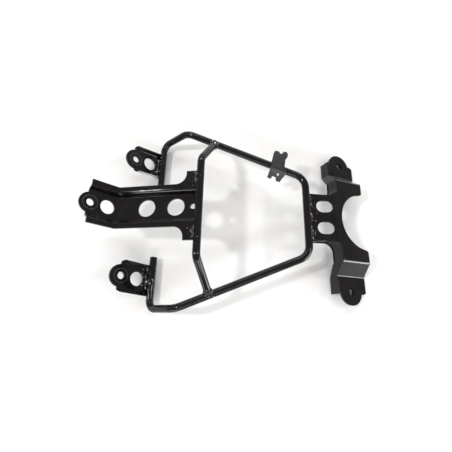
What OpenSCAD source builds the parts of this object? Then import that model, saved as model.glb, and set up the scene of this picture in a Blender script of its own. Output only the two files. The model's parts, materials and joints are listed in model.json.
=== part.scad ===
// Rear rack of a motor scooter: bent round bars, pressed brackets, all welded.
// X runs from the front bracket (-X) to the tail plate (+X), Y is across.
// The origin is on the surface the rack lies on, at the middle of its length and width.

/* [Bars] */
// Diameter of the bent round bars
bar_d = 9.5; // [9:0.5:10]
// Centreline radius of the tight bends in the bars
bend_r = 12; // [8:1:16]

/* [Frame] */
// Length from the front cross ends of the loop to its rear bar
loop_l = 201.5; // [190:0.5:215]
// Width of the loop between bar centrelines at the front
loop_w = 240; // [225:1:250]
// Width of the loop where the side bars turn into the rear bar
tail_w = 106; // [96:1:116]
// How far the front ends of the loop drop below the side bars
front_drop = 33.5; // [30:0.5:34]
// Length of the sloping part between the front ends and the side bars
slope_l = 39; // [34:1:44]

/* [Cross bar] */
// Distance of the cross bar behind the loop's front ends
cross_x = 63.7; // [58:0.5:70]
// Height of the cross bar above the side bars
cross_rise = 29.3; // [26:0.5:32]
// Width of the cross bar's straight middle
cross_w = 126; // [116:1:136]

/* [Sheet] */
// Thickness of the pressed sheet
sheet_t = 2.5; // [2:0.1:3]
// Diameter of the fixing holes for M8 screws
bolt_hole_d = 9; // [8.5:0.5:10]
// Diameter of the lightening holes in the ears and the channel's end
light_hole_d = 18; // [16:0.5:19]

/* [Channel bracket] */
// Width of the channel's flat web
web_w = 33; // [30:1:35]
// Height of the lips above the web
lip_rise = 7.1; // [6:0.1:8]
// Width over the lips
lips_w = 55; // [52:1:58]
// Diameter of the two large holes in the web
web_hole_d = 22.6; // [20:0.2:24]
// Spread of the welded T end over its full width
flare_w = 89; // [80:1:94]
// Angle of the front leg to the horizontal
front_angle = 45; // [40:1:48]
// Rise of the long leg towards the cross bar
rise_angle = 10.2; // [9:0.1:11]

/* [Ear brackets] */
// Distance between the fixing holes of the two ears
ear_span = 163.2; // [155:0.2:170]
// Width of an ear's flat web
ear_w = 31.8; // [28:0.2:34]
// Distance of an ear's fixing hole from the loop's bar, along the ear
ear_l = 40.7; // [38:0.1:44]
// Toe-in of each ear
ear_toe = 4.5; // [2:0.5:6]

/* [Tail plate] */
// Pitch of the plate's rear part below the neck
tail_pitch = 22; // [18:1:24]
// Half width of the neck at the rear bar
neck_w = 34; // [31:0.5:36]
// Step from the wings down to the tail ears
tail_step = 20; // [17:0.5:22]
// Distance between the two fixing holes of the tail ears
tail_span = 185; // [178:0.5:190]
// Radius of the half-round cut-out in the tail edge
cutout_r = 39.5; // [36:0.5:41]

/* [Hidden] */
$fn = 48;
BLACK = [0.06, 0.06, 0.065];
STEEL = [0.16, 0.16, 0.17];

// Places in the frame: x from the rear-middle datum, heights from the side bars
front_x = -99.5;
rear_x = front_x + loop_l;
knee_x = front_x + slope_l;
bar_x = front_x + cross_x;
side_slope = (loop_w - tail_w) / 2 / (rear_x - knee_x);
function side_y(x) = loop_w / 2 - side_slope * (x - knee_x);

function unit(v) = v / norm(v);
function turned(a, b, c) = acos(unit(b - a) * unit(c - b));
function setback(a, b, c, r) = r * tan(turned(a, b, c) / 2);

// Stands children on p, with their z axis towards q
module aim(p, q) {
    v = q - p;
    translate(p)
        rotate([0, acos(v.z / norm(v)), atan2(v.y, v.x)])
            children();
}

// Straight round bar from p to q
module straight(p, q, d) {
    aim(p, q)
        cylinder(d = d, h = norm(q - p));
}

// Round bend of the bar that comes from a, turns at b and goes to c
module bend(a, b, c, r, d) {
    u = unit(b - a);
    n = unit(cross(u, unit(c - b)));
    m = cross(n, u);
    o = b - u * setback(a, b, c, r) + m * r;
    multmatrix([[-m.x, u.x, n.x, o.x], [-m.y, u.y, n.y, o.y], [-m.z, u.z, n.z, o.z], [0, 0, 0, 1]])
        rotate_extrude(angle = turned(a, b, c))
            translate([r, 0])
                circle(d = d);
}

// Bar bent along the corner points, with one centreline radius for each corner
module bent_bar(pts, radii, d) {
    last = len(pts) - 1;
    function cut(i) = i == 0 || i == last ? 0 : setback(pts[i - 1], pts[i], pts[i + 1], radii[i - 1]);
    for (i = [0 : last - 1]) {
        u = unit(pts[i + 1] - pts[i]);
        straight(pts[i] + u * cut(i), pts[i + 1] - u * cut(i + 1), d);
    }
    for (i = [1 : last - 1]) {
        bend(pts[i - 1], pts[i], pts[i + 1], radii[i - 1], d);
        for (k = [i - 1, i + 1]) {
            w = unit(pts[k] - pts[i]);
            straight(pts[i] + w * (cut(i) - 0.15), pts[i] + w * (cut(i) + 0.15), d + 0.06);
        }
    }
}

// Mid-line of a folded sheet through one rounded corner, as points with their left normals
function corner_arc(a, b, c, r, n) =
    let (u = unit(b - a), left = [-u.y, u.x], side = cross(u, unit(c - b)) > 0 ? 1 : -1,
         o = b - u * setback(a, b, c, r) + side * r * left)
    [for (k = [0 : n])
        let (q = side * turned(a, b, c) * k / n, v = left * cos(q) - u * sin(q))
        [o - side * r * v, v]];

// Whole mid-line: the corners are rounded with the radii r, in n steps each
function mid_line(pts, r, n = 5) =
    let (last = len(pts) - 1,
         left = [for (i = [0 : last - 1]) let (u = unit(pts[i + 1] - pts[i])) [-u.y, u.x]])
    concat([[pts[0], left[0]]],
           [for (i = [1 : last - 1]) each corner_arc(pts[i - 1], pts[i], pts[i + 1], r[i - 1], n)],
           [[pts[last], left[last - 1]]]);
function left_edge(mid, t) = [for (m = mid) m[0] + m[1] * t / 2];
function right_edge(mid, t) = [for (i = [len(mid) - 1 : -1 : 0]) mid[i][0] - mid[i][1] * t / 2];

// Outline through pts with each corner rounded by its radius in r, where 0 leaves it sharp
function rounded(pts, r, n = 5) =
    let (last = len(pts))
    [for (i = [0 : last - 1])
        each r[i] == 0 ? [pts[i]]
           : [for (m = corner_arc(pts[(i + last - 1) % last], pts[i], pts[(i + 1) % last], r[i], n)) m[0]]];

// Section of a folded sheet of thickness t
module folded(mid, t) {
    polygon(concat(left_edge(mid, t), right_edge(mid, t)));
}

// Everything is drawn about the middle of the neck and then set down on the origin
tongue_r = 13;
ring_d = 18;
bolt_s = 34.6;
corner = [-143, 4.6];
fold_x = 140;
tail_d = 57.8;
plate_z = -(bar_d + sheet_t) / 2;
ear_past = 3;

// The rack lies on the lower ends of its two ears and on the rear edges of its tail ears:
// points in the middle plane, x and height, from which its lean and its place follow
front_reach = ear_past * cos(ear_toe) + (ear_w / 2 - 1.5) * sin(ear_toe);
front_sole = [front_x - (bar_d / 2 + sheet_t) * sin(front_angle) + front_reach * cos(front_angle),
              -front_drop - (bar_d / 2 + sheet_t) * cos(front_angle) - front_reach * sin(front_angle)];
function tail_point(d, h) = [fold_x + d * cos(tail_pitch) + h * sin(tail_pitch),
                             plate_z - d * sin(tail_pitch) + h * cos(tail_pitch)];
tail_sole = tail_point(tail_d, -tail_step - sheet_t / 2);
tail_tip = tail_point(tail_d, -tail_step + sheet_t / 2);
tongue_tip = corner + (bolt_s + tongue_r) * [-cos(front_angle), sin(front_angle)]
             - sheet_t / 2 * [sin(front_angle), cos(front_angle)];
lean = atan((front_sole.y - tail_sole.y) / (tail_sole.x - front_sole.x));
function laid(p) = [p.x * cos(lean) - p.y * sin(lean), p.x * sin(lean) + p.y * cos(lean)];
module set_down()
    translate([-(laid(tongue_tip).x + laid(tail_tip).x) / 2, 0, -laid(front_sole).y])
        rotate([0, -lean, 0])
            children();

front_y = loop_w / 2;
free_y = 53;
loop_half = [[front_x, free_y, -front_drop], [front_x, front_y, -front_drop], [knee_x, front_y, 0],
             [rear_x, tail_w / 2, 0]];
loop_path = concat([for (p = loop_half) [p.x, -p.y, p.z]],
                   [for (i = [3 : -1 : 0]) loop_half[i]]);
loop_radii = [bend_r, 22, 20, 20, 22, bend_r];
side_a = loop_half[2];
side_b = loop_half[3];

module loop_bar() {
    color(BLACK)
        set_down()
            bent_bar(loop_path, loop_radii, bar_d);
}

foot = [-21, side_y(-21), 0];
cross_path = [[foot.x, -foot.y, 0], [bar_x, -cross_w / 2, cross_rise], [bar_x, cross_w / 2, cross_rise], foot];

module cross_bar() {
    color(BLACK)
        set_down()
            difference() {
                bent_bar(cross_path, [14, 14], bar_d);
                for (s = [-1, 1])
                    straight([side_a.x, s * side_a.y, 0], [side_b.x, s * side_b.y, 0], bar_d + 0.1);
            }
}

// Section across the channel: web, sloping walls and level lips
channel_mid = mid_line([[-lips_w / 2, lip_rise], [-web_w / 2 - 4.2, lip_rise], [-web_w / 2, 0],
                        [web_w / 2, 0], [web_w / 2 + 4.2, lip_rise], [lips_w / 2, lip_rise]],
                       [2.6, 2.6, 2.6, 2.6]);
channel_r = 9.5;
channel_set = channel_r * tan((front_angle + rise_angle) / 2);
leg_l = (bar_x - corner.x) / cos(rise_angle);
lip_end = 38;

module along(a, b) {
    translate([a, 0, 0])
        rotate([90, 0, 90])
            linear_extrude(b - a)
                children();
}

module long_leg() {
    translate([corner.x, 0, corner.y])
        rotate([0, -rise_angle, 0])
            children();
}

module front_leg() {
    translate([corner.x, 0, corner.y])
        rotate([0, front_angle, 0])
            children();
}

module channel_bracket() {
    web_holes = [41, 79.3];
    flare_r = 13.5;
    flare_x = leg_l - 29.5;
    color(BLACK)
        set_down()
            difference() {
                union() {
                    long_leg() {
                        along(channel_set, leg_l - 1)
                            folded(channel_mid, sheet_t);
                        // Lips spread into the T that is welded to the cross bar
                        translate([0, 0, lip_rise - sheet_t / 2])
                            linear_extrude(sheet_t)
                                for (s = [-1, 1])
                                    difference() {
                                        translate([flare_x, s > 0 ? 22 : -flare_w / 2])
                                            square([leg_l - 1 - flare_x, flare_w / 2 - 22]);
                                        translate([flare_x, s * (lips_w / 2 + flare_r)])
                                            circle(flare_r);
                                        translate([flare_x - 1, s > 0 ? lips_w / 2 + flare_r : -60])
                                            square([flare_r + 1, 60 - lips_w / 2 - flare_r]);
                                    }
                    }
                    // Bend between the two legs
                    a = rise_angle;
                    translate([corner.x + channel_set * cos(a) - channel_r * sin(a), 0,
                               corner.y + channel_set * sin(a) + channel_r * cos(a)])
                        multmatrix([[sin(a), -cos(a), 0, 0], [0, 0, 1, 0], [-cos(a), -sin(a), 0, 0], [0, 0, 0, 1]])
                            rotate_extrude(angle = front_angle + rise_angle)
                                translate([channel_r, 0])
                                    rotate(90)
                                        folded(channel_mid, sheet_t);
                    front_leg() {
                        along(-lip_end, -channel_set)
                            folded(channel_mid, sheet_t);
                        along(-channel_set - 0.2, -channel_set + 0.2)
                            folded(channel_mid, sheet_t + 0.06);
                        translate([-bolt_s, 0, -sheet_t / 2]) {
                            cylinder(r = tongue_r, h = sheet_t);
                            translate([-3, -tongue_r, 0])
                                cube([15, 2 * tongue_r, sheet_t]);
                        }
                        translate([-bolt_s, 0, 0])
                            cylinder(d = ring_d, h = sheet_t / 2 + 0.5);
                    }
                }
                long_leg() {
                    for (s = web_holes)
                        translate([s, 0, -5])
                            cylinder(d = web_hole_d, h = 10);
                    translate([leg_l - 7.4, 0, -5])
                        cylinder(d = 7.2, h = 10);
                }
                front_leg() {
                    translate([-13.1, 0, -5])
                        cylinder(d = light_hole_d, h = 10);
                    translate([-bolt_s, 0, -5])
                        cylinder(d = bolt_hole_d, h = 10);
                }
                straight([bar_x, -cross_w / 2, cross_rise], [bar_x, cross_w / 2, cross_rise], bar_d);
            }
}

// Ear: drawn in its own plane, -X up the ear, with the bar's contact line at x = 0
ear_mid = mid_line([[-ear_w / 2 - 3.2, 5.2], [-ear_w / 2, 0], [ear_w / 2, 0], [ear_w / 2 + 3.2, 5.2]],
                   [2.8, 2.8]);
ear_end_r = 14.2;
module ear_place() {
    drop = (bar_d + sheet_t) / 2;
    translate([front_x - drop * sin(front_angle), ear_span / 2, -front_drop - drop * cos(front_angle)])
        rotate([0, front_angle, 0])
            translate([-ear_l, 0, 0])
                rotate([0, 0, ear_toe])
                    children();
}

module ear_bracket() {
    difference() {
        ear_place()
            difference() {
                union() {
                    intersection() {
                        along(-2, ear_l + 1)
                            folded(ear_mid, sheet_t);
                        // Side flanges rise from the rounded end with a slope
                        translate([0, 30, 0])
                            rotate([90, 0, 0])
                                linear_extrude(60)
                                    polygon([[-3, -2], [-3, 0.4], [3.6, 7], [ear_l + 2, 7], [ear_l + 2, -2]]);
                    }
                    translate([0, 0, -sheet_t / 2]) {
                        cylinder(r = ear_end_r, h = sheet_t);
                        translate([0, -ear_w / 2 + 1.5, 0])
                            cube([ear_l + ear_past, ear_w - 3, sheet_t]);
                    }
                    cylinder(d = ring_d, h = sheet_t / 2 + 0.5);
                }
                translate([0, 0, -5])
                    cylinder(d = bolt_hole_d, h = 10);
                translate([22, 0, -5])
                    cylinder(d = light_hole_d, h = 10);
            }
        straight([front_x, 0, -front_drop], [front_x, front_y, -front_drop], bar_d);
    }
}

module ear_bracket_left() {
    color(BLACK) set_down() mirror([0, 1, 0]) ear_bracket();
}

module ear_bracket_right() {
    color(BLACK) set_down() ear_bracket();
}

// Tail plate: neck under the rear bar, wings pitched down, a step to the tail ears
wing_y = 56;
ear_y = 72;
hole_y = tail_span / 2;
hole_d = 33.5;
ear_front = 12.5;
front_d = 6.5;
rear_d = 49.8;
inner_r = 13.5;
flange_d = 16.5;
ear_flange_d = 33.8;
step_mid = mid_line([[-115, -tail_step], [-ear_y, -tail_step], [-wing_y, 0], [wing_y, 0],
                     [ear_y, -tail_step], [115, -tail_step]], [4, 4, 4, 4]);
// Mid-line of the front flange in plan: along the neck, round its corner, down to the ear
flange_mid = mid_line([[-34, neck_w - 2], [front_d + sheet_t / 2, neck_w - 5], [front_d + sheet_t / 2, wing_y + 1],
                       [ear_front + sheet_t / 2, ear_y + 2], [ear_front + sheet_t / 2, hole_y + 2.5]],
                      [inner_r + sheet_t / 2, 8, 8], 10);

module both_sides() {
    children();
    mirror([0, 1, 0]) children();
}

module pitched() {
    translate([fold_x, 0, plate_z])
        rotate([0, tail_pitch, 0])
            children();
}

// Rear edge of the wing and its ear, from the ear's tip inwards, and on to the cut-out
rear_pts = [[40, hole_y + 2.5], [54.5, hole_y + 2.5], [tail_d, hole_y], [tail_d, ear_y + 2], [rear_d, wing_y],
            [rear_d, cutout_r + 4], [rear_d - 4, cutout_r + 4], [rear_d - 4, 0]];
rear_edge = [for (i = [1 : 6])
                 each i == 1 || i == 3 || i == 4
                     ? [for (m = corner_arc(rear_pts[i - 1], rear_pts[i], rear_pts[i + 1], i == 1 ? 1.5 : 5, 5)) m[0]]
                     : [rear_pts[i]]];

// Half of the plate's outline, in the flat: x from the fold, y across
module half_outline() {
    difference() {
        union() {
            polygon(concat([[-34, 0]], left_edge(flange_mid, sheet_t), rear_edge, [[rear_d - 4, 0]]));
            translate([rear_d - 4, cutout_r + 4])
                circle(4);
            translate([hole_d - 0.5, hole_y])
                circle(17.3);
        }
        translate([rear_d + 0.5, 0])
            circle(cutout_r);
    }
}

module tail_sheet() {
    lap = sheet_t / 2 * tan(tail_pitch / 2) + 0.2;
    translate([fold_x, 0, plate_z])
        intersection() {
            translate([-38, -60, -sheet_t / 2])
                cube([38 + lap, 120, sheet_t]);
            translate([0, 0, -5])
                linear_extrude(10)
                    both_sides() {
                        half_outline();
                        translate([-38, 0])
                            square([5, neck_w - 0.7]);
                    }
        }
    pitched()
        intersection() {
            along(-lap, 60)
                folded(step_mid, sheet_t);
            translate([0, 0, -30])
                linear_extrude(40)
                    both_sides()
                        half_outline();
        }
}

// Flange turned down along the plate's front edge
module tail_flange() {
    intersection() {
        pitched() {
            intersection() {
                translate([0, 0, -40])
                    linear_extrude(60)
                        both_sides()
                            folded(flange_mid, sheet_t);
                along(-50, 70)
                    polygon(concat([for (m = step_mid) m[0]],
                                   [[115, -ear_flange_d], [ear_y + 3, -ear_flange_d], [wing_y - 1, -flange_d],
                                    [1 - wing_y, -flange_d], [-ear_y - 3, -ear_flange_d], [-115, -ear_flange_d]]));
            }
        }
        translate([fold_x - 60, -120, plate_z - 60])
            cube([120, 240, 60]);
    }
}

module tail_plate() {
    slot_x = -13;
    color(BLACK)
        set_down()
            difference() {
                union() {
                    tail_sheet();
                    tail_flange();
                }
                for (s = [-1, 1]) {
                    translate([fold_x + slot_x, s * 14.9, plate_z - 5]) {
                        for (k = [-2.6, 2.6])
                            translate([k, 0, 0])
                                cylinder(d = 16.6, h = 10);
                        translate([-2.6, -8.3, 0])
                            cube([5.2, 16.6, 10]);
                    }
                    pitched()
                        translate([hole_d, s * hole_y, -tail_step - 5])
                            cylinder(d = bolt_hole_d, h = 10);
                }
            }
}

// Small folded clip on the side bar: a level wing outwards, a wing bent down inwards
clip_t = 2;
clip_x = 66;
clip_mid = mid_line([[-13.6, -9.5], [-4.5, (bar_d + clip_t) / 2], [26, (bar_d + clip_t) / 2]], [3]);
module clip_bracket() {
    color(BLACK)
        set_down()
            translate([clip_x, side_y(clip_x), 0])
                rotate([0, 0, -atan(side_slope)])
                    difference() {
                        intersection() {
                            translate([-20, 0, 0])
                                along(0, 40)
                                    folded(clip_mid, clip_t);
                            linear_extrude(36, center = true)
                                polygon(rounded([[-9, -4], [-8.8, -20], [-4.2, -20], [-3, -10.8], [2, -10.8], [8, -20],
                                                 [10, -12], [14, -4.6], [8.3, 1], [5.2, 12.5], [6.4, 17], [5.6, 21.5],
                                                 [2.4, 24], [-1.2, 22.8], [-2.1, 18.6], [-4.4, 18.2], [-7.4, 20.8],
                                                 [-12.4, 19.8], [-12.9, 15.5], [-10.6, 1]],
                                                [0, 0, 0, 1, 1, 0, 2, 1.5, 1, 0, 0, 1.5, 1.5, 1, 0.6, 0.6, 1.5, 1.5, 0, 1]));
                        }
                        translate([3.5, -8.6, -15])
                            cylinder(d = 3, h = 30);
                    }
}

// M8 weld nuts under the tail ears
nut_h = 6.5;
module tail_weld_nuts() {
    color(STEEL)
        set_down()
            for (s = [-1, 1])
                pitched()
                    translate([hole_d, s * hole_y, -tail_step - sheet_t / 2 - nut_h])
                        difference() {
                            rotate(30)
                                cylinder(d = 15, h = nut_h, $fn = 6);
                            translate([0, 0, -1])
                                cylinder(d = 6.8, h = nut_h + 2);
                        }
}

// Weld bead of radius r along a seam from p to q
module bead(p, q, r) {
    straight(p, q, 2 * r);
    for (c = [p, q])
        translate(c)
            sphere(r);
}

// Beads along the bar at the top of each ear
module ear_welds() {
    seam = bar_d / 2 + 0.9;
    color(BLACK)
        set_down()
            for (s = [-1, 1])
                translate([front_x, s * ear_span / 2, -front_drop])
                    rotate([0, front_angle, 0])
                        difference() {
                            bead([-seam, -ear_w / 2 + 4, 1 - bar_d / 2], [-seam, ear_w / 2 - 4, 1 - bar_d / 2], 2);
                            translate([0, -30, 0])
                                rotate([-90, 0, 0])
                                    cylinder(d = bar_d, h = 60);
                            translate([-20, -30, -bar_d / 2 - 10])
                                cube([40, 60, 10]);
                        }
}

// Collars of weld round the cross bar's feet
module cross_bar_welds() {
    color(BLACK)
        set_down()
            for (s = [-1, 1]) {
                low = [foot.x, s * foot.y, 0];
                top = [bar_x, s * cross_w / 2, cross_rise];
                difference() {
                    aim(low, top)
                        translate([0, 0, 2.6])
                            cylinder(r1 = bar_d / 2 + 2.4, r2 = bar_d / 2 + 0.5, h = 5.6);
                    straight(low, top, bar_d);
                    straight([side_a.x, s * side_a.y, 0], [side_b.x, s * side_b.y, 0], bar_d);
                }
            }
}

// Beads along the cross bar on the channel's T end
module channel_welds() {
    rise = lip_rise + sheet_t / 2;
    at = [(bar_x - corner.x) * cos(rise_angle) + (cross_rise - corner.y) * sin(rise_angle),
          (cross_rise - corner.y) * cos(rise_angle) - (bar_x - corner.x) * sin(rise_angle)];
    seam = at.x - sqrt(pow(bar_d / 2, 2) - pow(rise - at.y, 2)) - 0.9;
    color(BLACK)
        set_down()
            long_leg()
                for (s = [-1, 1])
                    difference() {
                        bead([seam, s * 29, rise + 0.3], [seam, s * 41, rise + 0.3], 1.9);
                        translate([at.x, -50, at.y])
                            rotate([-90, 0, 0])
                                cylinder(d = bar_d, h = 100);
                        translate([seam - 10, -50, rise - 10])
                            cube([20, 100, 10]);
                    }
}

// Beads along the rear bar, over the neck's front end
module tail_welds() {
    color(BLACK)
        set_down()
            difference() {
                for (y = [-24, -1, 22])
                    bead([rear_x + bar_d / 2 + 1, y - 5, 1 - bar_d / 2], [rear_x + bar_d / 2 + 1, y + 5, 1 - bar_d / 2], 2.2);
                straight([rear_x, -45, 0], [rear_x, 45, 0], bar_d);
                translate([rear_x - 10, -50, -bar_d / 2 - 10])
                    cube([30, 100, 10]);
            }
}

loop_bar();
cross_bar();
channel_bracket();
ear_bracket_left();
ear_bracket_right();
tail_plate();
tail_weld_nuts();
clip_bracket();
ear_welds();
cross_bar_welds();
channel_welds();
tail_welds();
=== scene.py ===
import json
import math
import random

import bmesh
import bpy
from mathutils import Matrix, Vector, noise
from mathutils.bvhtree import BVHTree


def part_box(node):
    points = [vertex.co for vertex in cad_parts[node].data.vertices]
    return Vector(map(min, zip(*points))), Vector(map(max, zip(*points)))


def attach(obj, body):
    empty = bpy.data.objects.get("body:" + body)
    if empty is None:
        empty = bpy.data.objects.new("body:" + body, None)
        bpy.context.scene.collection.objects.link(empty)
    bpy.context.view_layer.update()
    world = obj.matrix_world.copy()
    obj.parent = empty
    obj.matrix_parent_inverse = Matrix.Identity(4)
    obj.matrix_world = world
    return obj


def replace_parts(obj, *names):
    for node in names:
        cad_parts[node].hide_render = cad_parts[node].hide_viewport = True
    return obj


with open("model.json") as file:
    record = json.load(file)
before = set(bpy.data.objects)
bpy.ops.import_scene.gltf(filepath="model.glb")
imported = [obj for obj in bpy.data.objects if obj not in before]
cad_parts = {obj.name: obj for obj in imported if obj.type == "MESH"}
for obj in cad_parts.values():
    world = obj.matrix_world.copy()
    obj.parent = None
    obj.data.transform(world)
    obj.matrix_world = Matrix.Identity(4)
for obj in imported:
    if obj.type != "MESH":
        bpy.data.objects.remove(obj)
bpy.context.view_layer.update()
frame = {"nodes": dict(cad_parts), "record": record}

# The lean, the shift and the lift with which the rack lies on the floor
LEAN = math.radians(1.15928)
SHIFT_X = -0.0045892
LIFT_Z = 0.0435895

# The frame's meshes hold one vertex for each face that meets at a corner; closer than this is one corner
SAME_CORNER = 0.000002


def laid(x, y, z):
    """A place given from the side bars' level (mm) in the frame's metres."""
    x, y, z = x / 1000, y / 1000, z / 1000
    return Vector((x * math.cos(LEAN) - z * math.sin(LEAN) + SHIFT_X, y,
                   x * math.sin(LEAN) + z * math.cos(LEAN) + LIFT_Z))


def turned(direction):
    """A direction given from the side bars' level in the frame."""
    return Matrix.Rotation(-LEAN, 3, "Y") @ Vector(direction)


# Shader parts

def new_material(name):
    material = bpy.data.materials.new(name)
    material.use_nodes = True
    tree = material.node_tree
    return material, tree, tree.nodes["Principled BSDF"]


def add(tree, kind, **values):
    """A new node; each value goes to its setting of that name, or else to its input."""
    node = tree.nodes.new(kind)
    for key, value in values.items():
        if hasattr(node, key):
            setattr(node, key, value)
        else:
            node.inputs[key].default_value = value
    return node


def texture(tree, kind, output, **values):
    """A texture in the object's own space."""
    node = add(tree, kind, **values)
    place = add(tree, "ShaderNodeTexCoord")
    tree.links.new(place.outputs["Object"], node.inputs["Vector"])
    return node.outputs[output]


def grain(tree, scale, detail, roughness):
    return texture(tree, "ShaderNodeTexNoise", "Fac", Scale=scale, Detail=detail, Roughness=roughness)


def ramp(tree, source, low, high):
    """A colour ramp of two stops, each a place and a colour."""
    node = add(tree, "ShaderNodeValToRGB")
    for stop, (place, colour) in zip(node.color_ramp.elements, (low, high)):
        stop.position = place
        stop.color = (*colour, 1)
    tree.links.new(source, node.inputs["Fac"])
    return node.outputs["Color"]


def spread(tree, source, low, high):
    """A source that runs from 0 to 1, made to run from low to high."""
    node = add(tree, "ShaderNodeMapRange")
    node.inputs["To Min"].default_value = low
    node.inputs["To Max"].default_value = high
    tree.links.new(source, node.inputs["Value"])
    return node.outputs["Result"]


def times(tree, source, factor):
    node = add(tree, "ShaderNodeMath", operation="MULTIPLY")
    node.inputs[1].default_value = factor
    tree.links.new(source, node.inputs[0])
    return node.outputs[0]


def bump(tree, shader, height, strength, distance):
    node = add(tree, "ShaderNodeBump", Strength=strength, Distance=distance)
    tree.links.new(height, node.inputs["Height"])
    tree.links.new(node.outputs["Normal"], shader.inputs["Normal"])


# Materials

def black_paint(name, tones, roughness, green_blue):
    """Black enamel on bent steel: cloudy tone, slow waviness, fine orange peel and dust.

    tones are the darkest and the palest red, and green_blue is what the other two have of it.
    """
    dust_grey = (0.06, 0.06, 0.058, 1)
    dust_cover = 0.12
    wave_over_peel = 1.6
    material, tree, shader = new_material(name)
    link = tree.links.new
    cloud = grain(tree, scale=38.0, detail=4.0, roughness=0.6)
    peel = grain(tree, scale=900.0, detail=2.0, roughness=0.5)
    wave = grain(tree, scale=120.0, detail=2.0, roughness=0.4)
    specks = texture(tree, "ShaderNodeTexVoronoi", "Distance", Scale=420.0)
    dark, pale = ((tone, tone * green_blue, tone * green_blue) for tone in tones)
    paint = ramp(tree, cloud, (0.35, dark), (0.75, pale))
    dust = ramp(tree, specks, (0.0, (1, 1, 1)), (0.09, (0, 0, 0)))
    dusted = add(tree, "ShaderNodeMix", data_type="RGBA")
    dusted.inputs["B"].default_value = dust_grey
    link(times(tree, dust, dust_cover), dusted.inputs["Factor"])
    link(paint, dusted.inputs["A"])
    link(dusted.outputs["Result"], shader.inputs["Base Color"])
    link(spread(tree, cloud, *roughness), shader.inputs["Roughness"])
    height = add(tree, "ShaderNodeMath", operation="MULTIPLY_ADD")
    height.inputs[1].default_value = wave_over_peel
    link(wave, height.inputs[0])
    link(peel, height.inputs[2])
    bump(tree, shader, height.outputs[0], strength=0.1, distance=0.0003)
    shader.inputs["IOR"].default_value = 1.4
    return material


def nut_steel():
    """The weld nuts' steel, painted over with the rack and rubbed bare in patches."""
    material, tree, shader = new_material("nut_steel")
    rub = grain(tree, scale=300.0, detail=5.0, roughness=0.7)
    tone = ramp(tree, rub, (0.45, (0.006, 0.006, 0.0065)), (0.72, (0.11, 0.105, 0.1)))
    tree.links.new(tone, shader.inputs["Base Color"])
    tree.links.new(spread(tree, rub, 0.28, 0.55), shader.inputs["Roughness"])
    bump(tree, shader, rub, strength=0.3, distance=0.0002)
    shader.inputs["Metallic"].default_value = 0.6
    return material


def weld_paint(bare):
    """Lumpy painted weld metal; the higher bare is, from 0 to 1, the more of the paint is gone. The pale
    steel that shows is worn bare, and on the spatter and the thread turns it is also a painted glint.
    """
    painted = (0.007, 0.006, 0.0055, 1)
    # Pale steel where the paint is gone: partly real wear, partly a painted glint on the spatter and the
    # thread turns
    bare_steel_and_glint = (0.72, 0.70, 0.67, 1)
    bare_metallic = 0.6
    material, tree, shader = new_material("weld_paint_%d" % round(bare * 100))
    link = tree.links.new
    lump = grain(tree, scale=520.0, detail=4.0, roughness=0.6)
    fleck = grain(tree, scale=260.0, detail=2.0, roughness=0.5)
    wear_and_glint_mask = add(tree, "ShaderNodeMapRange")
    wear_and_glint_mask.inputs["From Min"].default_value = 0.66 - 0.3 * bare
    wear_and_glint_mask.inputs["From Max"].default_value = 0.72 - 0.26 * bare
    link(fleck, wear_and_glint_mask.inputs["Value"])
    mix = add(tree, "ShaderNodeMix", data_type="RGBA")
    mix.inputs["A"].default_value = painted
    mix.inputs["B"].default_value = bare_steel_and_glint
    link(wear_and_glint_mask.outputs["Result"], mix.inputs["Factor"])
    link(mix.outputs["Result"], shader.inputs["Base Color"])
    link(times(tree, wear_and_glint_mask.outputs["Result"], bare_metallic), shader.inputs["Metallic"])
    link(spread(tree, lump, 0.12, 0.42), shader.inputs["Roughness"])
    bump(tree, shader, lump, strength=0.5, distance=0.0004)
    shader.inputs["IOR"].default_value = 1.5
    return material


def pale_floor():
    material, tree, shader = new_material("pale_floor")
    cloud = grain(tree, scale=3.0, detail=3.0, roughness=0.5)
    tone = ramp(tree, cloud, (0.0, (0.905, 0.90, 0.893)), (1.0, (0.92, 0.915, 0.908)))
    tree.links.new(tone, shader.inputs["Base Color"])
    shader.inputs["Roughness"].default_value = 0.55
    shader.inputs["Specular IOR Level"].default_value = 0.25
    return material


GLOSS_PAINT = black_paint("gloss_black", tones=(0.0034, 0.0085), roughness=(0.07, 0.14), green_blue=0.77)
# The clip's black is about five times paler than the gloss black: painted light, standing in for the light
# its lower wing catches
CLIP_PAINTED_LIGHT = black_paint("clip_black_painted_light", tones=(0.021, 0.034), roughness=(0.22, 0.36), green_blue=0.98)
# The seats' rims take a paler black: a painted highlight along the rims
RIM_PAINTED_HIGHLIGHT = black_paint("rim_black_painted_highlight", tones=(0.035, 0.08), roughness=(0.14, 0.28), green_blue=0.96)
NUT_STEEL = nut_steel()
BEAD_PAINT = weld_paint(0.25)
# The spatter and the thread turns are mostly pale bare steel, partly wear and partly a painted glint
SPATTER_WEAR_AND_GLINT = weld_paint(0.75)
THREAD_WEAR_AND_GLINT = weld_paint(0.95)
NODE_MATERIALS = {"tail_weld_nuts": NUT_STEEL, "clip_bracket": CLIP_PAINTED_LIGHT}


# The CAD nodes keep their meshes

def dress_nodes():
    for name, node in frame["nodes"].items():
        node.data.materials.clear()
        node.data.materials.append(NODE_MATERIALS.get(name, GLOSS_PAINT))


def soften(name, width):
    """Rounds a node's edges; the corners are joined first, because a bevel passes by open edges."""
    node = frame["nodes"][name]
    node.modifiers.new("joined", "WELD").merge_threshold = SAME_CORNER
    bevel = node.modifiers.new("soft_edges", "BEVEL")
    bevel.width = width
    bevel.segments = 2
    bevel.limit_method = "ANGLE"
    bevel.angle_limit = math.radians(38)


# Pieces

def new_piece(name, mesh, material):
    mesh.materials.clear()
    mesh.materials.append(material)
    for face in mesh.polygons:
        face.use_smooth = True
    piece = bpy.data.objects.new(name, mesh)
    bpy.context.scene.collection.objects.link(piece)
    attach(piece, "root")
    return piece


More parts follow.
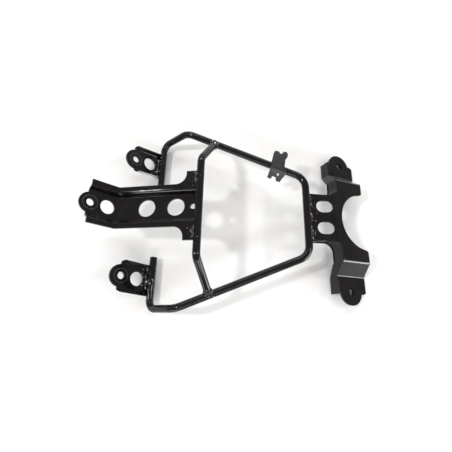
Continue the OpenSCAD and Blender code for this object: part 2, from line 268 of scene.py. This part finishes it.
def skin(build, rings, closed):
    """Faces over rings of vertices: the last ring meets the first, or else both ends are capped."""
    following = rings[1:] + rings[:1] if closed else rings[1:]
    for ring, after in zip(rings, following):
        for k in range(len(ring)):
            n = (k + 1) % len(ring)
            build.faces.new((ring[k], after[k], after[n], ring[n]))
    if not closed:
        build.faces.new(rings[0])
        build.faces.new(rings[-1])


def to_mesh(build, name):
    mesh = bpy.data.meshes.new(name)
    build.to_mesh(mesh)
    build.free()
    return mesh


# Tail plate: the CAD's folds are sharp, and the real sheet turns round a radius

SHORTEST_FOLD = 0.0006
SMALLEST_TURN = math.radians(20)
SHEET_REACH = 0.0031        # a face that reaches less far is the sheet's own edge or a hole's wall
CREST_SIDES = 14
CREST_DEPTH = 0.55          # how deep a rolled corner's centre lies under the fold, in radii
HOLLOW_STEPS = 7
HOLLOW_ROOT = 0.0002        # how far a fillet's root lies inside the steel


def reach(face, edge):
    """How far a face runs from one of its edges, square to it."""
    start, end = (v.co for v in edge.verts)
    along = (end - start).normalized()
    return max(((v.co - start) - along * (v.co - start).dot(along)).length for v in face.verts)


def into(face, edge):
    """The direction in a face that leads away from one of its edges, square to it."""
    start, end = (v.co for v in edge.verts)
    across = face.normal.cross((end - start).normalized()).normalized()
    return across if (face.calc_center_median() - start).dot(across) > 0 else -across


def is_fold(edge):
    if len(edge.link_faces) != 2 or edge.calc_length() < SHORTEST_FOLD:
        return False
    if edge.calc_face_angle(0) < SMALLEST_TURN:
        return False
    return min(reach(face, edge) for face in edge.link_faces) >= SHEET_REACH


def rolled_corner(u, w, radius):
    """The round section of a strip outside a fold between two faces that lead off along u and w."""
    inward = (u + w).normalized()
    across = u.cross(w).cross(u).normalized()
    angles = (2 * math.pi * k / CREST_SIDES for k in range(CREST_SIDES))
    return [inward * CREST_DEPTH * radius + (u * math.cos(a) + across * math.sin(a)) * radius for a in angles]


def fillet(u, w, size):
    """The section of a strip inside a fold: a curve from one face to the other, and a root in the steel."""
    outward = (u + w).normalized()
    steps = (k / HOLLOW_STEPS for k in range(HOLLOW_STEPS + 1))
    section = [(1 - t) ** 2 * u * size + t * t * w * size for t in steps]
    return section + [-outward * HOLLOW_ROOT]


def bend_strips(node, hollow, crest):
    """Strips along a pressing's folds: a fillet inside each bend, and a rolled corner outside it.

    A rolled corner stands out from its fold by 0.45 of its radius.
    """
    sheet = bmesh.new()
    sheet.from_mesh(frame["nodes"][node].data)
    bmesh.ops.remove_doubles(sheet, verts=sheet.verts, dist=SAME_CORNER)
    bmesh.ops.dissolve_limit(sheet, angle_limit=math.radians(0.6), verts=sheet.verts, edges=sheet.edges)
    build = bmesh.new()
    for edge in filter(is_fold, sheet.edges):
        u, w = (into(face, edge) for face in edge.link_faces)
        section = rolled_corner(u, w, crest) if edge.is_convex else fillet(u, w, hollow)
        skin(build, [[build.verts.new(v.co + p) for p in section] for v in edge.verts], closed=False)
    sheet.free()
    bmesh.ops.recalc_face_normals(build, faces=build.faces)
    name = node + "_bends"
    piece = new_piece(name, to_mesh(build, name), GLOSS_PAINT)
    piece.data.set_sharp_from_angle(angle=math.radians(50))


# Welds: each CAD fillet gets the ripples and lumps of the real bead

BEAD_VOXEL = 0.0005
# For each weld: the ripples' pitch and height, how many beads of spatter it throws, and how far
WELDS = {
    "ear_welds": (0.0017, 0.0005, 200, 0.0042),
    "channel_welds": (0.0019, 0.0004, 55, 0.003),
    "cross_bar_welds": (0.0019, 0.0004, 50, 0.003),
    "tail_welds": (0.0021, 0.0004, 80, 0.003),
}
CLIP_SPATTER = (14, 0.006)
STEEL_NODES = ("loop_bar", "cross_bar", "channel_bracket", "ear_bracket_left", "ear_bracket_right",
               "tail_plate", "clip_bracket")


def remeshed(node, voxel):
    """A node's shape with even small faces, which can take ripples."""
    copy = bpy.data.objects.new("copy", frame["nodes"][node].data.copy())
    bpy.context.scene.collection.objects.link(copy)
    remesh = copy.modifiers.new("even", "REMESH")
    remesh.mode = "VOXEL"
    remesh.voxel_size = voxel
    mesh = bpy.data.meshes.new_from_object(copy.evaluated_get(bpy.context.evaluated_depsgraph_get()))
    bpy.data.objects.remove(copy)
    return mesh


def rippled(mesh, pitch, height):
    """Moves a bead's skin in and out, by ripples across the rack that wander, and by lumps."""
    wander_scale, lump_scale, slant = 160.0, 620.0, 40
    normals = [v.normal.copy() for v in mesh.vertices]
    for v, normal in zip(mesh.vertices, normals):
        place = v.co
        wander = noise.noise(place * wander_scale)
        ripple = math.sin(2 * math.pi * (place.y / pitch + 0.5 * wander + slant * (place.x + place.z)))
        lump = noise.noise(place * lump_scale)
        v.co = place + normal * (height * (0.55 * ripple + 0.9 * lump + 0.5 * wander))


def weld_beads():
    """Replaces the CAD welds with rippled ones, and returns the places that spatter starts from."""
    sources = []
    for name, (pitch, height, count, throw) in WELDS.items():
        mesh = remeshed(name, BEAD_VOXEL)
        sources.append(([v.co.copy() for v in mesh.vertices], count, throw))
        rippled(mesh, pitch, height)
        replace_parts(new_piece(name.replace("_welds", "_weld_beads"), mesh, BEAD_PAINT), name)
    return sources


def steel_surface():
    """The bars and pressings as one surface that can be searched for its nearest point."""
    places, faces = [], []
    for name in STEEL_NODES:
        mesh = frame["nodes"][name].data
        first = len(places)
        places += [v.co.copy() for v in mesh.vertices]
        faces += [[first + i for i in face.vertices] for face in mesh.polygons]
    return BVHTree.FromPolygons(places, faces)


def spatter(sources):
    """Small beads of weld metal that lie on the steel around the welds and on the clip."""
    smallest, growth = 0.0002, 0.00042
    raised, flatness = 0.25, 0.75
    low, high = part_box("clip_bracket")
    clip_middle = Vector([(a + b) / 2 for a, b in zip(low, high)])
    steel = steel_surface()
    draw = random.Random(11)
    build = bmesh.new()
    for points, count, throw in sources + [([clip_middle], *CLIP_SPATTER)]:
        for _ in range(count):
            near = draw.choice(points) + Vector([draw.gauss(0, throw) for _ in range(3)])
            place, normal, _, _ = steel.find_nearest(near)
            radius = smallest + growth * draw.random() ** 2
            lie = normal.to_track_quat("Z", "Y").to_matrix().to_4x4()
            lie = Matrix.Translation(place + normal * radius * raised) @ lie
            bmesh.ops.create_icosphere(build, subdivisions=2, radius=radius,
                                       matrix=lie @ Matrix.Diagonal((1, 1, flatness, 1)))
    new_piece("weld_spatter", to_mesh(build, "weld_spatter"), SPATTER_WEAR_AND_GLINT)


# Screw seats and threads

def along_axis(mount, distance):
    """A point on a mount's axis, and the rotation that turns z to that axis."""
    axis = Vector(mount["axis"])
    return Vector(mount["pos_m"]) + axis * distance, axis.to_track_quat("Z", "Y").to_matrix()


def screw_rings():
    """The rounded rim of the raised seat around each of the three front screw holes, in paler paint that is a
    painted highlight.
    """
    seat_radius, rim_radius, unevenness = 0.0088, 0.00036, 0.2
    above_middle = 0.00142
    steps, sides, noise_reach = 72, 10, 4
    build = bmesh.new()
    for mount in frame["record"]["mounts"]:
        if "screw" not in mount["name"]:
            continue
        centre, turn = along_axis(mount, above_middle)
        rings = []
        for k in range(steps):
            a = 2 * math.pi * k / steps
            swell = noise.noise(Vector((noise_reach * math.cos(a), noise_reach * math.sin(a), 0)))
            rim = rim_radius * (1 + unevenness * swell)
            ring = []
            for b in (2 * math.pi * i / sides for i in range(sides)):
                out = seat_radius + rim * math.cos(b)
                point = Vector((out * math.cos(a), out * math.sin(a), rim * math.sin(b)))
                ring.append(build.verts.new(centre + turn @ point))
            rings.append(ring)
        skin(build, rings, closed=True)
    bmesh.ops.recalc_face_normals(build, faces=build.faces)
    new_piece("screw_rings", to_mesh(build, "screw_rings"), RIM_PAINTED_HIGHLIGHT)


def nut_threads():
    """The turns of the M8 thread inside each weld nut; its crests stand 0.36 mm into the 6.8 mm bore."""
    pitch, root_radius, depth = 0.00125, 0.00342, 0.00038
    below_middle = 0.00325
    first_pitch, turns, steps, fading_steps = 0.3, 4.6, 32, 12
    # Each point's offset along the axis in pitches, and its height towards the axis
    tooth = ((-0.46, 0), (-0.07, depth), (0.07, depth), (0.46, 0))
    build = bmesh.new()
    for mount in frame["record"]["mounts"]:
        if not mount["name"].startswith("tail_thread"):
            continue
        start, turn = along_axis(mount, -below_middle)
        rings = []
        for k in range(int(turns * steps) + 1):
            a = 2 * math.pi * k / steps
            fade = min(1, k / fading_steps, (turns * steps - k) / fading_steps)
            along = pitch * (a / (2 * math.pi) + first_pitch)
            ring = []
            for offset, height in tooth:
                radius = root_radius - height * fade
                point = Vector((radius * math.cos(a), radius * math.sin(a), along + offset * pitch))
                ring.append(build.verts.new(start + turn @ point))
            rings.append(ring)
        skin(build, rings, closed=False)
    bmesh.ops.recalc_face_normals(build, faces=build.faces)
    new_piece("nut_threads", to_mesh(build, "nut_threads"), THREAD_WEAR_AND_GLINT)


# Floor, light and camera

def stage_floor():
    """A pale floor that curves up into a backdrop behind the rack."""
    half_width, front, back, top, curve, steps = 2.6, 2.2, 1.6, 1.8, 0.5, 12
    below_rack = 0.0002
    profile = [(-front, 0.0), (back - curve, 0.0)]
    for k in range(1, steps + 1):
        a = math.pi / 2 * k / steps
        profile.append((back - curve + curve * math.sin(a), curve - curve * math.cos(a)))
    profile.append((back, top))
    build = bmesh.new()
    left, right = ([build.verts.new((x, y, z)) for y, z in profile] for x in (-half_width, half_width))
    for k in range(len(profile) - 1):
        build.faces.new((left[k], right[k], right[k + 1], left[k + 1]))
    mesh = to_mesh(build, "floor")
    mesh.materials.append(pale_floor())
    for face in mesh.polygons:
        face.use_smooth = True
    floor = bpy.data.objects.new("floor", mesh)
    bpy.context.scene.collection.objects.link(floor)
    floor.location.z = -below_rack


def area(name, place, size, watts, target=(0, 0, 0)):
    """A rectangular light that faces its target."""
    light = bpy.data.lights.new(name, "AREA")
    light.shape = "RECTANGLE"
    light.size, light.size_y = size
    light.energy = watts
    lamp = bpy.data.objects.new(name, light)
    bpy.context.scene.collection.objects.link(lamp)
    lamp.location = place
    lamp.rotation_euler = (Vector(target) - Vector(place)).to_track_quat("-Z", "Y").to_euler()


def studio_light():
    """Two small keys for the shadow, and strips and panels that the glossy bars mirror."""
    area("key_left", (-0.82, -0.09, 1.05), size=(0.11, 0.11), watts=5.6)
    area("key_right", (0.95, 0.05, 0.95), size=(0.08, 0.08), watts=1.8)
    area("far_strip", (-0.1, 1.05, 1.15), size=(1.7, 0.05), watts=7.0)
    area("near_strip", (0.1, -1.25, 0.95), size=(1.6, 0.05), watts=7.6)
    area("left_strip", (-1.25, 0.0, 0.55), size=(0.05, 1.3), watts=1.2)
    area("right_strip", (1.25, -0.55, 0.26), size=(0.8, 0.34), watts=13.0, target=(0.1, -0.05, 0.03))
    area("low_panel", (-0.85, -2.0, 0.16), size=(1.7, 0.26), watts=13.0, target=(0, 0, 0.03))
    world = bpy.data.worlds.new("studio")
    world.use_nodes = True
    background = world.node_tree.nodes["Background"]
    background.inputs["Color"].default_value = (1.0, 0.985, 0.965, 1)
    background.inputs["Strength"].default_value = 0.38
    bpy.context.scene.world = world
    bpy.context.scene.view_settings.view_transform = "Standard"


def camera():
    """The camera that the photograph's perspective gives: 72 degrees down, close and wide."""
    down, turn = math.radians(72.074), math.radians(1.3337)
    place_mm = (0, -133.09, 359.34)
    focal_px, photo_px, sensor_mm = 295.50, 452, 36
    right = Vector((math.cos(turn), math.sin(turn), 0))
    ahead = Vector((-math.sin(turn) * math.cos(down), math.cos(turn) * math.cos(down), -math.sin(down)))
    up = right.cross(ahead)
    right, ahead, up = turned(right), turned(ahead), turned(up)
    lens = bpy.data.cameras.new("camera")
    lens.sensor_width = sensor_mm
    lens.lens = sensor_mm * focal_px / photo_px
    lens.clip_start = 0.01
    view = bpy.data.objects.new("camera", lens)
    bpy.context.scene.collection.objects.link(view)
    pose = Matrix((right, up, -ahead)).transposed().to_4x4()
    pose.translation = laid(*place_mm)
    view.matrix_world = pose
    bpy.context.scene.camera = view


dress_nodes()
soften("tail_weld_nuts", width=0.0004)
bend_strips("tail_plate", hollow=0.0022, crest=0.0008)
spatter(weld_beads())
screw_rings()
nut_threads()
stage_floor()
studio_light()
camera()
